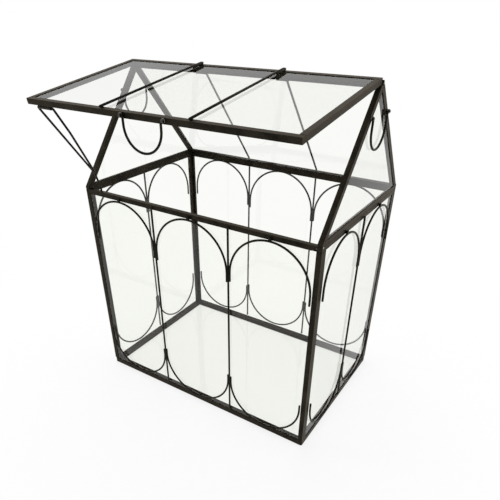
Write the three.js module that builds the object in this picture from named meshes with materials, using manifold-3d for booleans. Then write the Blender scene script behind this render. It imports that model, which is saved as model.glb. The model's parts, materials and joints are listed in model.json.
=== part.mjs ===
// Miniature greenhouse: a table-top glazed case with a pitched roof. The back roof slope is fixed
// and the front slope is a framed glass lid, hinged at the ridge and held open by a bent wire prop.
// Units are millimetres. X runs along the ridge, the front faces -Y, and Z is up from the table.
import * as THREE from 'three';
import { mergeVertices } from 'three/addons/utils/BufferGeometryUtils.js';
import Module from 'manifold-3d';

// Driving dimensions of the case
const caseWidth = 400;
const caseDepth = 266.4;
const ridgeHeight = 500;
const baseHeight = 9;
const baseBarWidth = 9;
const baseCornerRadius = 3;
const eaveBottom = 329;
const frontEaveHeight = 7;
const frontEaveDepth = 7.2;
const wallEaveHeight = 13;
const roofFootRise = 3.3;
const ridgeFlatDrop = 0.5;
const ridgeFront = 0.6;
const rafterHeadGap = 0.7;

// Soldered channels that hold the panes
const channelThickness = 4.5;
const postFace = 7.3;
const postSide = 12.3;
const rafterWidth = 7;
const rafterDepth = 7.4;
const seamWidth = 0.5;
const seamDepth = 0.5;
const notchWidth = 6.7;
const notchHeight = 4;

// Panes and the gap between pieces that fit together
const paneThickness = 2.5;
const paneGrip = 2;
const gablePaneTrim = 2.5;
const roofPaneDepth = 2.45;
const roofPaneTopRun = 7.3;
const roofPaneEndGap = 4.9;
const fit = 0.3;

// Lid, shown propped open
const lidSideInset = 1.7;
const lidShortfall = 4.4;
const lidBarWidth = 7.2;
const lidThickness = 7.2;
const lidOffset = 2.82;
const lidBackReach = 2.9;
const lidRestGap = 0.4;
const lidSlopeDegrees = 8.2;

// Hinges between the ridge and the lid
const hingeSetback = 3.66;
const hingeRadius = 2.3;
const hingeHoleRadius = 1.1;
const hingePinRadius = 1;
const hingeMiddleLength = 8;
const hingeEndLength = 5;
const hingeTabHeight = 2;
const hingeTabReach = 3.9;

// Wires and rods laid over the glass
const wireRadius = 1.5;
const mullionShare = 0.33;
const mullionLap = 4;
const archLegPitch = 2.6;
const archEndInset = 9;
const sideArchEndInset = 14.2;
const archCrownDrop = 1;
const backUprightShift = -3;
const upperArchLegs = 13.5;
const lowerArchLegs = 10.3;
const nubWidth = 4.6;
const lidRodInset = 0.9;
const roofRodEndGap = 6.2;
const rodHookRadius = 1.7;
const rodHookLength = 25;
const rodHookSpread = 5.5;

// Bail handles on the lid and on both gables
const lidBail = { radius: 28.3, leg: 10 };
const gableBail = { radius: 25, leg: 15.5 };
const bailCornerRadius = 2.4;
const lugThickness = 3;
const lugHoleRadius = 1.8;
const lugWall = 0.8;
const lugReach = 1.9;
const lidLugRise = 4.2;
const gableHandleDrop = 38.6;

// Prop that holds the lid open
const propWireRadius = 1.5;
const propInset = 30;
const propTubeLength = 24;
const propTubeRadius = 2.4;
const propTubeBore = 1.85;
const propTubeInset = 3.1;
const propSpread = 29.4;
const propBow = 1.8;
const propBowShare = 0.35;
const propMeetShift = 10.5;
const propMeetOut = 13.2;
const propMeetRise = 34.8;
const propMergeLength = 6;
const propLegOverlap = 1;
const propFootInset = 3.7;
const propFootRise = 5.5;
const propTipGap = 0.35;
const propBendRadius = 2.6;
const propBowRadius = 60;

// Fineness of round shapes
const wireSides = 4; // points on each half of the section
const roundSides = 16;
const archSteps = 20;
const bendSteps = 3;
const cornerSteps = 4;

// Finishes
const finishes = {
  frame: { color: 0x35322c, roughness: 0.55, metalness: 0.7 },
  wire: { color: 0x22221f, roughness: 0.5, metalness: 0.7 },
  glass: { color: 0xe6efe8, roughness: 0.05, metalness: 0, transparent: true, opacity: 0.3 },
};

// Sizes worked out from the driving dimensions
const halfWidth = caseWidth / 2;
const halfDepth = caseDepth / 2;
const postInnerX = halfWidth - postFace;
const postInnerY = halfDepth - postSide;
const panePlaneX = halfWidth - channelThickness / 2;
const panePlaneY = halfDepth - channelThickness / 2;
const halfPane = paneThickness / 2;
const wirePlaneX = halfWidth + fit + wireRadius;
const wirePlaneY = halfDepth + fit + wireRadius;
const wireBottom = baseHeight + fit;
const mullionX = halfWidth * mullionShare;
const frontEaveTop = eaveBottom + frontEaveHeight;
const wallEaveTop = eaveBottom + wallEaveHeight;
const roofFootHeight = frontEaveTop + roofFootRise;
const ridgeTop = ridgeHeight - ridgeFlatDrop;
const roofPitch = Math.atan2(ridgeHeight - roofFootHeight, halfDepth);
const roofSlopeLength = Math.hypot(ridgeHeight - roofFootHeight, halfDepth);
const roofSteepness = Math.tan(roofPitch);
const rafterDrop = rafterDepth / Math.cos(roofPitch);
const ridgeHalfLength = halfWidth - rafterWidth - fit;
const lidSlope = THREE.MathUtils.degToRad(lidSlopeDegrees);
const lidHalfWidth = halfWidth - lidSideInset;
const lidFront = lidBackReach - roofSlopeLength + lidShortfall;
const lidTop = lidOffset + lidThickness;
const lidMiddle = (lidOffset + lidTop) / 2;
const hingeDrop = hingeSetback * roofSteepness + (lidOffset - lidRestGap) / Math.cos(roofPitch);
const hingeZ = ridgeHeight - hingeDrop;
const hingeTabTop = hingeTabHeight / 2;
const ridgeBottom = hingeZ + hingeTabTop + fit;
const frontRafterTop = hingeZ + lidOffset - rafterHeadGap;
const hingeAxisAt = new THREE.Vector3(0, -hingeSetback, hingeZ);
const xAxis = new THREE.Vector3(1, 0, 0);

const wasm = await Module();
wasm.setup();

const greenhouse = new THREE.Group();
const lid = new THREE.Group();
lid.position.copy(hingeAxisAt);
lid.rotation.x = lidSlope;
greenhouse.add(lid);

// Solids are made from closed geometry, cut or joined, and turned back into geometry
function toSolid(geometry) {
  const plain = geometry.clone();
  plain.deleteAttribute('normal');
  plain.deleteAttribute('uv');
  const merged = mergeVertices(plain);
  return new wasm.Manifold(new wasm.Mesh({
    numProp: 3,
    vertProperties: Float32Array.from(merged.attributes.position.array),
    triVerts: Uint32Array.from(merged.index.array),
  }));
}

function toGeometry(solid) {
  const mesh = solid.getMesh();
  const geometry = new THREE.BufferGeometry();
  geometry.setAttribute('position', new THREE.BufferAttribute(mesh.vertProperties, 3));
  geometry.setIndex(new THREE.BufferAttribute(mesh.triVerts, 1));
  return geometry;
}

function cut(body, tools) {
  return toGeometry(tools.reduce((rest, tool) => rest.subtract(toSolid(tool)), toSolid(body)));
}

function join(pieces) {
  return toGeometry(pieces.map(toSolid).reduce((sum, piece) => sum.add(piece)));
}

// Box between any two opposite corners, grown on every side if asked
function box(corner, opposite, grow = 0) {
  const bounds = new THREE.Box3().setFromPoints([
    new THREE.Vector3(...corner), new THREE.Vector3(...opposite),
  ]);
  const size = bounds.expandByScalar(grow).getSize(new THREE.Vector3());
  const centre = bounds.getCenter(new THREE.Vector3());
  return new THREE.BoxGeometry(...size).translate(...centre);
}

// Closed outline with holes, each given as a list of corner points
function outline(points, holes = []) {
  const vectors = (loop) => loop.map(([u, v]) => new THREE.Vector2(u, v));
  const border = vectors(points);
  if (THREE.ShapeUtils.isClockWise(border)) border.reverse();
  const shape = new THREE.Shape(border);
  shape.holes = holes.map((loop) => new THREE.Path(vectors(loop).reverse()));
  return shape;
}

function arc([u, v], radius, from, to, steps) {
  return Array.from({ length: steps + 1 }, (_, i) => {
    const angle = from + (to - from) * (i / steps);
    return [u + radius * Math.cos(angle), v + radius * Math.sin(angle)];
  });
}

function circle(centre, radius) {
  return arc(centre, radius, 0, Math.PI * 2, roundSides).slice(0, -1);
}

// Outline drawn in (y, z) and run along X between two places
function alongX(shape, from, to) {
  const turn = new THREE.Matrix4().makeBasis(
    new THREE.Vector3(0, 1, 0), new THREE.Vector3(0, 0, 1), xAxis,
  );
  return new THREE.ExtrudeGeometry(shape, { depth: Math.abs(to - from), bevelEnabled: false })
    .applyMatrix4(turn).translate(Math.min(from, to), 0, 0);
}

// Outline drawn in (x, z) and run along Y between two places
function alongY(shape, from, to) {
  return new THREE.ExtrudeGeometry(shape, { depth: Math.abs(to - from), bevelEnabled: false })
    .rotateX(Math.PI / 2).translate(0, Math.max(from, to), 0);
}

// Outline drawn in (x, y) and run along Z between two places
function alongZ(shape, from, to) {
  return new THREE.ExtrudeGeometry(shape, { depth: to - from, bevelEnabled: false })
    .translate(0, 0, from);
}

// Path through listed points, with one ring of the wire at each of them
class WirePath extends THREE.Curve {
  constructor(points) {
    super();
    this.points = points;
    this.last = points.length - 1;
  }

  getPoint(t, target = new THREE.Vector3()) {
    return target.copy(this.points[Math.round(t * this.last)]);
  }

  getPointAt(u, target) {
    return this.getPoint(u, target);
  }

  getTangentAt(u, target = new THREE.Vector3()) {
    const index = Math.round(u * this.last);
    const here = this.points[index];
    const before = this.points[Math.max(index - 1, 0)];
    const after = this.points[Math.min(index + 1, this.last)];
    const arriving = new THREE.Vector3().subVectors(here, before).normalize();
    const leaving = new THREE.Vector3().subVectors(after, here).normalize();
    return target.addVectors(arriving, leaving).normalize();
  }
}

function wire(points, radius) {
  const section = new THREE.Shape().absarc(0, 0, radius, 0, Math.PI * 2, false);
  return new THREE.ExtrudeGeometry(section, {
    steps: points.length - 1,
    curveSegments: wireSides,
    bevelEnabled: false,
    extrudePath: new WirePath(points),
  });
}

// Line through corner points with each inner corner rounded
function bend(corners, radius) {
  const rounded = corners.slice(1, -1).flatMap((corner, i) => {
    const arriving = new THREE.Vector3().subVectors(corner, corners[i]).normalize();
    const leaving = new THREE.Vector3().subVectors(corners[i + 2], corner).normalize();
    const reach = radius * Math.tan(arriving.angleTo(leaving) / 2);
    const start = corner.clone().addScaledVector(arriving, -reach);
    const end = corner.clone().addScaledVector(leaving, reach);
    return new THREE.QuadraticBezierCurve3(start, corner, end).getPoints(bendSteps);
  });
  return [corners[0], ...rounded, corners[corners.length - 1]];
}

function addPart(name, geometry, finish, parent = greenhouse) {
  const mesh = new THREE.Mesh(geometry, new THREE.MeshStandardMaterial(finishes[finish]));
  mesh.name = name;
  parent.add(mesh);
  return mesh;
}

// Heights and places on the two sloping lines of a rafter, measured out from the ridge
const outerReach = (z) => (ridgeHeight - z) / roofSteepness;
const innerReach = (z) => (ridgeHeight - rafterDrop - z) / roofSteepness;
const innerHeight = (reach) => ridgeHeight - rafterDrop - reach * roofSteepness;

// Point of the back slope, given the run down from the ridge and the depth under its outer face
function onBackSlope(run, depth) {
  return [
    run * Math.cos(roofPitch) - depth * Math.sin(roofPitch),
    ridgeHeight - run * Math.sin(roofPitch) - depth * Math.cos(roofPitch),
  ];
}

// Panes: each function gives the pane itself, or with a growth the slot it leaves in the bars
const frontPaneX = postInnerX + paneGrip;
const sidePaneY = postInnerY + paneGrip;
const wallPaneBottom = baseHeight - paneGrip;
const wallPaneTop = eaveBottom + paneGrip;

function longWallPane(side, grow = 0) {
  return box(
    [-frontPaneX, side * panePlaneY - halfPane, wallPaneBottom],
    [frontPaneX, side * panePlaneY + halfPane, wallPaneTop],
    grow,
  );
}

function endWallPane(side, grow = 0) {
  return box(
    [side * panePlaneX - halfPane, -sidePaneY, wallPaneBottom],
    [side * panePlaneX + halfPane, sidePaneY, wallPaneTop],
    grow,
  );
}

function floorPane(grow = 0) {
  const reachX = halfWidth - baseBarWidth + paneGrip;
  const reachY = halfDepth - baseBarWidth + paneGrip;
  return box([-reachX, -reachY, 0], [reachX, reachY, paneThickness], grow);
}

function gablePane(side, grow = 0) {
  const bottom = wallEaveTop - paneGrip - grow;
  const peak = ridgeHeight - (rafterDepth - paneGrip - grow) / Math.cos(roofPitch);
  const reach = (peak - bottom) / roofSteepness - gablePaneTrim;
  const shoulder = bottom + gablePaneTrim * roofSteepness;
  const gable = outline([
    [-reach, bottom], [reach, bottom], [reach, shoulder], [0, peak], [-reach, shoulder],
  ]);
  const middle = side * panePlaneX;
  return alongX(gable, middle - halfPane - grow, middle + halfPane + grow);
}

function backRoofPane(grow = 0) {
  const start = roofPaneTopRun - grow;
  const end = roofSlopeLength - roofPaneEndGap + grow;
  const outer = roofPaneDepth - grow;
  const inner = roofPaneDepth + paneThickness + grow;
  const section = outline([
    onBackSlope(start, outer), onBackSlope(end, outer),
    onBackSlope(end, inner), onBackSlope(start, inner),
  ]);
  const reach = halfWidth - rafterWidth + paneGrip + grow;
  return alongX(section, -reach, reach);
}

function lidPane(grow = 0) {
  const reach = lidHalfWidth - lidBarWidth + paneGrip;
  return box(
    [-reach, lidFront + lidBarWidth - paneGrip, lidMiddle - halfPane],
    [reach, lidBackReach - lidBarWidth + paneGrip, lidMiddle + halfPane],
    grow,
  );
}

function addPanes() {
  const sides = [['left', -1], ['right', 1]];
  addPart('glass_front', longWallPane(-1), 'glass');
  addPart('glass_back', longWallPane(1), 'glass');
  for (const [name, side] of sides) {
    addPart(`glass_${name}`, endWallPane(side), 'glass');
    addPart(`glass_gable_${name}`, gablePane(side), 'glass');
  }
  addPart('glass_floor', floorPane(), 'glass');
  addPart('glass_roof_back', backRoofPane(), 'glass');
  addPart('lid_glass', lidPane(), 'glass', lid);
}

// Base: the front and back bars run the full width and have rounded corners
function addBase() {
  const innerY = halfDepth - baseBarWidth;
  const round = baseCornerRadius;
  for (const [name, side] of [['front', -1], ['back', 1]]) {
    const rightCorner = arc(
      [halfWidth - round, halfDepth - round], round, 0, Math.PI / 2, cornerSteps,
    );
    const half = [[halfWidth, innerY], ...rightCorner];
    const mirrored = half.map(([x, y]) => [-x, y]).reverse();
    const plan = outline([...half, ...mirrored].map(([x, y]) => [x, side * y]));
    const bar = alongZ(plan, 0, baseHeight);
    const slots = [longWallPane(side, fit), floorPane(fit)];
    addPart(`base_bar_${name}`, cut(bar, slots), 'frame');
  }
  const endY = innerY - fit;
  for (const [name, side] of [['left', -1], ['right', 1]]) {
    const bar = box(
      [side * (halfWidth - baseBarWidth), -endY, 0],
      [side * halfWidth, endY, baseHeight],
    );
    addPart(`base_bar_${name}`, cut(bar, [endWallPane(side, fit), floorPane(fit)]), 'frame');
  }
}

// Corner posts: an L of two channels soldered together, with the seam showing on the end walls
function addPosts() {
  const ends = [['left', -1], ['right', 1]];
  const fronts = [['front', -1], ['back', 1]];
  const innerX = halfWidth - channelThickness;
  const innerY = halfDepth - channelThickness;
  for (const [frontName, sideY] of fronts) {
    for (const [endName, sideX] of ends) {
      const angle = [
        [postInnerX, halfDepth], [halfWidth, halfDepth], [halfWidth, postInnerY],
        [innerX, postInnerY], [innerX, innerY], [postInnerX, innerY],
      ];
      const plan = outline(angle.map(([x, y]) => [sideX * x, sideY * y]));
      const seam = box(
        [sideX * (halfWidth - seamDepth), sideY * innerY, 0],
        [sideX * (halfWidth + seamDepth), sideY * (innerY - seamWidth), ridgeHeight],
      );
      const post = alongZ(plan, baseHeight + fit, eaveBottom - fit);
      const slots = [longWallPane(sideY, fit), endWallPane(sideX, fit), seam];
      addPart(`corner_post_${frontName}_${endName}`, cut(post, slots), 'frame');
    }
  }
}

// Eaves: a low bar at the front, and taller ones with a seam along the middle on the other walls
function addEaves() {
  const seamZ = (eaveBottom + wallEaveTop) / 2;
  const notch = alongY(outline([
    [postInnerX - notchWidth, eaveBottom - notchHeight],
    [postInnerX - notchWidth, eaveBottom],
    [postInnerX, eaveBottom + notchHeight],
    [postInnerX, eaveBottom - notchHeight],
  ]), -halfDepth - frontEaveDepth, 0);
  const frontBar = box(
    [-halfWidth, -halfDepth, eaveBottom],
    [halfWidth, -halfDepth + frontEaveDepth, frontEaveTop],
  );
  addPart('eave_bar_front', cut(frontBar, [longWallPane(-1, fit), notch]), 'frame');

  const backInnerY = halfDepth - channelThickness;
  const backBar = box(
    [-halfWidth, backInnerY, eaveBottom],
    [halfWidth, halfDepth, wallEaveTop],
  );
  const backSeam = box(
    [-caseWidth, halfDepth - seamDepth, seamZ],
    [caseWidth, halfDepth + seamDepth, seamZ + seamWidth],
  );
  addPart('eave_bar_back', cut(backBar, [longWallPane(1, fit), backSeam]), 'frame');

  for (const [name, side] of [['left', -1], ['right', 1]]) {
    const bar = box(
      [side * (halfWidth - channelThickness), -halfDepth + frontEaveDepth + fit, eaveBottom],
      [side * halfWidth, backInnerY - fit, wallEaveTop],
    );
    const seam = box(
      [side * (halfWidth - seamDepth), -caseDepth, seamZ],
      [side * (halfWidth + seamDepth), caseDepth, seamZ + seamWidth],
    );
    const slots = [endWallPane(side, fit), gablePane(side, fit), seam];
    addPart(`eave_bar_${name}`, cut(bar, slots), 'frame');
  }
}

// Rafters: the front pair stops flat under the lid and steps down onto the front eave
function addRafters() {
  const footZ = wallEaveTop + fit;
  const frontFootZ = frontEaveTop + fit;
  const stepY = halfDepth - frontEaveDepth;
  const headY = ridgeFront + fit;
  const frontShape = [
    [halfDepth, frontFootZ], [halfDepth, roofFootHeight],
    [outerReach(frontRafterTop), frontRafterTop], [headY, frontRafterTop],
    [headY, innerHeight(headY)], [innerReach(footZ), footZ],
    [stepY, footZ], [stepY, frontFootZ],
  ];
  const backShape = [
    [outerReach(footZ), footZ], [outerReach(ridgeTop), ridgeTop], [-ridgeFront, ridgeTop],
    [-ridgeFront, innerHeight(-ridgeFront)], [innerReach(footZ), footZ],
  ];
  for (const [endName, sideX] of [['left', -1], ['right', 1]]) {
    const innerX = sideX * (halfWidth - rafterWidth);
    const outerX = sideX * halfWidth;
    const frontBar = alongX(outline(frontShape.map(([y, z]) => [-y, z])), innerX, outerX);
    const backBar = alongX(outline(backShape), innerX, outerX);
    const slots = [gablePane(sideX, fit), backRoofPane(fit)];
    addPart(`rafter_front_${endName}`, cut(frontBar, slots), 'frame');
    addPart(`rafter_back_${endName}`, cut(backBar, slots), 'frame');
  }
}

function addRidge() {
  const section = outline([
    [-ridgeFront, ridgeBottom], [-ridgeFront, ridgeTop],
    [outerReach(ridgeTop), ridgeTop], [outerReach(ridgeBottom), ridgeBottom],
  ]);
  addPart('ridge_bar', alongX(section, -ridgeHalfLength, ridgeHalfLength), 'frame');
}

// Lid frame, drawn flat about the hinge axis: four bars round one pane
function addLidFrame() {
  const innerX = lidHalfWidth - lidBarWidth;
  const innerFront = lidFront + lidBarWidth;
  const innerBack = lidBackReach - lidBarWidth;
  const bars = [
    ['front', [-lidHalfWidth, lidFront], [lidHalfWidth, innerFront]],
    ['back', [-lidHalfWidth, innerBack], [lidHalfWidth, lidBackReach]],
    ['left', [-lidHalfWidth, innerFront + fit], [-innerX, innerBack - fit]],
    ['right', [innerX, innerFront + fit], [lidHalfWidth, innerBack - fit]],
  ];
  for (const [name, low, high] of bars) {
    const bar = box([...low, lidOffset], [...high, lidTop]);
    addPart(`lid_bar_${name}`, cut(bar, [lidPane(fit)]), 'frame', lid);
  }
}

// Rods over the lid and the fixed slope; those of the lid are hooked back on themselves at the ridge
function addRods() {
  const rodZ = lidTop + fit + wireRadius;
  const rodFront = lidFront + lidRodInset;
  const hookY = lidBackReach - lidRodInset - rodHookRadius;
  const onLid = ([x, y]) => new THREE.Vector3(x, y, rodZ);
  const depth = roofPaneDepth - fit - wireRadius;
  const startRun = (ridgeHeight - ridgeBottom) / Math.sin(roofPitch) + fit;
  const [startY, startZ] = onBackSlope(startRun, depth);
  const [endY, endZ] = onBackSlope(roofSlopeLength - roofRodEndGap, depth);
  for (const [name, side] of [['left', -1], ['right', 1]]) {
    const x = side * mullionX;
    const turn = arc([x + rodHookRadius, hookY], rodHookRadius, Math.PI, 0, archSteps / 2);
    const rod = [[x, rodFront], ...turn, [x + rodHookSpread, hookY - rodHookLength]];
    addPart(`lid_rod_${name}`, wire(rod.map(onLid), wireRadius), 'wire', lid);
    addPart(`roof_rod_${name}`, wire(
      [new THREE.Vector3(x, startY, startZ), new THREE.Vector3(x, endY, endZ)], wireRadius,
    ), 'wire');
  }
}

// Hinges: the ridge carries two end knuckles on one pin, the lid one middle knuckle
function addHinges() {
  const halfMiddle = hingeMiddleLength / 2;
  const near = halfMiddle + fit;
  const far = near + hingeEndLength;
  const knuckle = outline(circle([0, 0], hingeRadius));
  const pin = outline(circle([0, 0], hingePinRadius));
  const seat = lidOffset - fit;
  const bored = outline(circle([0, 0], hingeRadius), [circle([0, 0], hingeHoleRadius)]);
  const block = outline([
    [-hingeRadius, seat], [hingeRadius, seat], [hingeRadius, hingeHoleRadius],
    [-hingeRadius, hingeHoleRadius],
  ]);
  for (const [name, side] of [['left', -1], ['right', 1]]) {
    const x = side * mullionX;
    const ends = [-1, 1].flatMap((end) => [
      alongX(knuckle, x + end * near, x + end * far),
      box([x + end * near, 0, hingeTabTop], [x + end * far, hingeTabReach, -hingeTabTop]),
    ]);
    const fixed = join([alongX(pin, x - far, x + far), ...ends]);
    addPart(`ridge_hinge_${name}`, fixed, 'frame').position.copy(hingeAxisAt);
    const moving = [bored, block].map((shape) => alongX(shape, x - halfMiddle, x + halfMiddle));
    addPart(`lid_hinge_${name}`, join(moving), 'frame', lid);
  }
}

// Arch of bent wire: a half circle on straight legs, pointing up (1) or down (-1) to its crown
function archPoints({ centre, radius }, crown, pointing, legs, place) {
  const middle = crown - pointing * radius;
  const feet = middle - pointing * legs;
  const curve = arc([centre, 0], radius, Math.PI, 0, archSteps)
    .map(([along, rise]) => place(along, middle + pointing * rise));
  return [place(centre - radius, feet), ...curve, place(centre + radius, feet)];
}

// Bays of one wall, each from the arch leg beside one upright to that beside the next
function baysBetween(uprights, end) {
  const left = [-end, ...uprights.map((along) => along + archLegPitch)];
  const right = [...uprights.map((along) => along - archLegPitch), end];
  return left.map((low, i) => ({
    centre: (low + right[i]) / 2,
    radius: (right[i] - low) / 2,
  }));
}

// Wirework of one wall, soldered where the wires touch: uprights, a row of arches under the
// eave and a row of upturned arches on the base
function addWirework({ name, uprights, end, place }) {
  const soldered = eaveBottom + mullionLap;
  const upperCrown = eaveBottom - archCrownDrop;
  const lowerCrown = wireBottom + wireRadius;
  const posts = uprights.map((along) => (
    wire([place(along, wireBottom), place(along, soldered)], wireRadius)
  ));
  const arches = baysBetween(uprights, end).flatMap((bay) => [
    wire(archPoints(bay, upperCrown, 1, upperArchLegs, place), wireRadius),
    wire(archPoints(bay, lowerCrown, -1, lowerArchLegs, place), wireRadius),
    box(
      place(bay.centre - nubWidth / 2, upperCrown, -wireRadius),
      place(bay.centre + nubWidth / 2, soldered, wireRadius),
    ),
  ]);
  addPart(`tracery_${name}`, join([...posts, ...arches]), 'wire');
}

function addAllWirework() {
  const longEnd = halfWidth - archEndInset;
  const shortEnd = halfDepth - sideArchEndInset;
  const onLongWall = (side) => (along, z, out = 0) => (
    new THREE.Vector3(along, side * (wirePlaneY + out), z)
  );
  const onEndWall = (side) => (along, z, out = 0) => (
    new THREE.Vector3(side * (wirePlaneX + out), along, z)
  );
  const walls = [
    { name: 'front', uprights: [-mullionX, mullionX], end: longEnd, place: onLongWall(-1) },
    {
      name: 'back',
      uprights: [backUprightShift - mullionX, backUprightShift + mullionX],
      end: longEnd,
      place: onLongWall(1),
    },
    { name: 'left', uprights: [0], end: shortEnd, place: onEndWall(-1) },
    { name: 'right', uprights: [0], end: shortEnd, place: onEndWall(1) },
  ];
  walls.forEach(addWirework);
}

// Bail handle about its pivot line: stubs in the lugs, straight legs and a half circle
const lugNear = (radius) => radius + wireRadius + fit;
const lugFar = (radius) => lugNear(radius) + lugThickness;

function bail({ radius, leg }, place) {
  const stub = lugFar(radius) + fit;
  const side = (sign) => bend(
    [place(sign * stub, 0), place(sign * radius, 0), place(sign * radius, leg)], bailCornerRadius,
  ).slice(0, -1);
  const curve = arc([0, leg], radius, Math.PI, 0, archSteps)
    .map(([along, drop]) => place(along, drop));
  return wire([...side(-1), ...curve, ...side(1).reverse()], wireRadius);
}

// Lug: a ring round the stub of a bail, cut off flat where it is soldered to the face behind it
function lugOutline(outward) {
  const radius = lugHoleRadius + lugWall;
  const gape = Math.acos((lugReach - fit) / lugHoleRadius);
  const outer = Math.acos((lugReach - fit) / radius);
  const sweep = (r, edge) => arc([lugReach, 0], r, edge - Math.PI, Math.PI - edge, roundSides);
  const strap = [...sweep(radius, outer), ...sweep(lugHoleRadius, gape).reverse()];
  return outline(strap.map(([u, v]) => [outward * u, v]));
}

function addHandles() {
  const gableHandleZ = ridgeHeight - gableHandleDrop;
  const hangX = (along, drop) => new THREE.Vector3(along, 0, -drop);
  const hangY = (along, drop) => new THREE.Vector3(0, along, -drop);
  const lugZ = lidOffset + lidLugRise;
  const lidNear = lugNear(lidBail.radius);
  for (const [name, side] of [['left', -1], ['right', 1]]) {
    const lug = alongX(lugOutline(-1), side * lidNear, side * lugFar(lidBail.radius));
    addPart(`lid_handle_lug_${name}`, lug, 'wire', lid).position.set(0, lidFront, lugZ);
  }
  const pivot = new THREE.Vector3(0, lidFront - lugReach, lugZ)
    .applyAxisAngle(xAxis, lidSlope).add(hingeAxisAt);
  addPart('lid_handle', bail(lidBail, hangX), 'wire').position.copy(pivot);

  const gableNear = lugNear(gableBail.radius);
  for (const [name, side] of [['left', -1], ['right', 1]]) {
    for (const [end, sideY] of [['front', -1], ['back', 1]]) {
      const lug = alongY(lugOutline(side), sideY * gableNear, sideY * lugFar(gableBail.radius));
      addPart(`gable_handle_lug_${name}_${end}`, lug, 'wire')
        .position.set(side * halfWidth, 0, gableHandleZ);
    }
    addPart(`gable_handle_${name}`, bail(gableBail, hangY), 'wire')
      .position.set(side * (halfWidth + lugReach), 0, gableHandleZ);
  }
}

// Prop: two legs hang from a cross bar in the lid's tube and close up to one foot on the eave; the
// inner leg bows a little
function addProp() {
  const tubeY = lidFront + propTubeInset;
  const tubeZ = lidOffset - fit - propTubeRadius;
  const section = outline(
    circle([tubeY, tubeZ], propTubeRadius), [circle([tubeY, tubeZ], propTubeBore)],
  );
  const halfTube = propTubeLength / 2;
  const propCentre = propInset - halfWidth;
  const tube = alongX(section, propCentre - halfTube, propCentre + halfTube);
  addPart('prop_tube', tube, 'frame', lid);

  const pivot = new THREE.Vector3(0, tubeY, tubeZ).applyAxisAngle(xAxis, lidSlope)
    .add(hingeAxisAt);
  const at = (x, y, z) => new THREE.Vector3(x, y - pivot.y, z - pivot.z);
  const meetY = -halfDepth - propMeetOut;
  const meetZ = frontEaveTop + propMeetRise;
  const footY = -halfDepth + propFootInset;
  const halfSpread = propSpread / 2;
  const meet = (x) => at(propMeetShift + x, meetY, meetZ);
  const foot = at(0, footY, frontEaveTop + propFootRise);
  const tip = at(0, footY, frontEaveTop + propTipGap);
  const inner = new THREE.Vector3(halfSpread, 0, 0);
  const bow = inner.clone().lerp(meet(propLegOverlap), propBowShare);
  bow.x = halfSpread + propBow;
  const top = bend([
    meet(-propLegOverlap), new THREE.Vector3(-halfSpread, 0, 0), inner, bow,
  ], propBendRadius);
  const innerLeg = bend([top[top.length - 2], bow, meet(propLegOverlap)], propBowRadius);
  const loop = [...top.slice(0, -2), ...innerLeg];
  const merge = meet(0).normalize().multiplyScalar(-propMergeLength).add(meet(0));
  const stem = bend([merge, meet(0), foot, tip], propBendRadius);
  const prop = join([wire(loop, propWireRadius), wire(stem, propWireRadius)]);
  addPart('prop', prop, 'wire').position.set(propCentre, pivot.y, pivot.z);
}

addBase();
addPosts();
addEaves();
addRafters();
addRidge();
addPanes();
addLidFrame();
addRods();
addHinges();
addAllWirework();
addHandles();
addProp();

export default greenhouse;
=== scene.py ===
"""Dresses the miniature greenhouse: round wires, bars with rolled edges, soldered joints, clear
panes and a dark bronze patina, on a white studio floor. All lengths are in metres."""

import json
import math

import bmesh
import bpy
from mathutils import Matrix, Vector


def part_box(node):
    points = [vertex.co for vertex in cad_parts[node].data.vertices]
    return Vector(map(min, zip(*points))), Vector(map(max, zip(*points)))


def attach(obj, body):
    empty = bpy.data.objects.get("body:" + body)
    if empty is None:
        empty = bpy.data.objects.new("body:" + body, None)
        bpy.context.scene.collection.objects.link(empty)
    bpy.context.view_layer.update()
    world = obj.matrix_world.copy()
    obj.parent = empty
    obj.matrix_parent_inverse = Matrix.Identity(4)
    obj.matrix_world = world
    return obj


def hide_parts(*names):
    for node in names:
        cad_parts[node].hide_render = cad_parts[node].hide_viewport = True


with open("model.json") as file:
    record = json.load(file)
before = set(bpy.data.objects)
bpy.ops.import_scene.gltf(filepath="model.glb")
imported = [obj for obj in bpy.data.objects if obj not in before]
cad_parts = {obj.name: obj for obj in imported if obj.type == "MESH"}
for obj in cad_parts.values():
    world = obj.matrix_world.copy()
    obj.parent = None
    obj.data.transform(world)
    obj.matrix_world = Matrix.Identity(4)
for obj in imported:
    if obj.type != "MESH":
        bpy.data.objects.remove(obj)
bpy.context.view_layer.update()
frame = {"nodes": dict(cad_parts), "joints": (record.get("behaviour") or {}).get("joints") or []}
nodes = frame["nodes"]
joint_places = {joint["name"]: Vector(joint["pos_m"]) for joint in frame["joints"]}

WALLS = ("front", "back", "left", "right")
LONG_WALLS = ("front", "back")
ENDS = (("left", -1), ("right", 1))
ALONG_X = Vector((1, 0, 0))
ALONG_Y = Vector((0, 1, 0))
UP = Vector((0, 0, 1))
UNTURNED = Matrix.Identity(4)

# Nodes of the solids, by how their names begin
CASE_BARS = ("base_bar", "corner_post", "eave_bar", "rafter", "ridge_bar")
WIRES = ("tracery", "lid_rod", "roof_rod", "lid_handle", "gable_handle", "prop")

# Case, as the solids have it
HALF_WIDTH = 0.2
HALF_DEPTH = 0.1332
RIDGE_HEIGHT = 0.5
BASE_HEIGHT = 0.009
EAVE_BOTTOM = 0.329
FRONT_EAVE_TOP = 0.336
WALL_EAVE_TOP = 0.342
ROOF_RISE = 0.1607
ROOF_PITCH = math.atan2(ROOF_RISE, HALF_DEPTH)
FIT = 0.0003
PANE_GRIP = 0.00195

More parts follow.
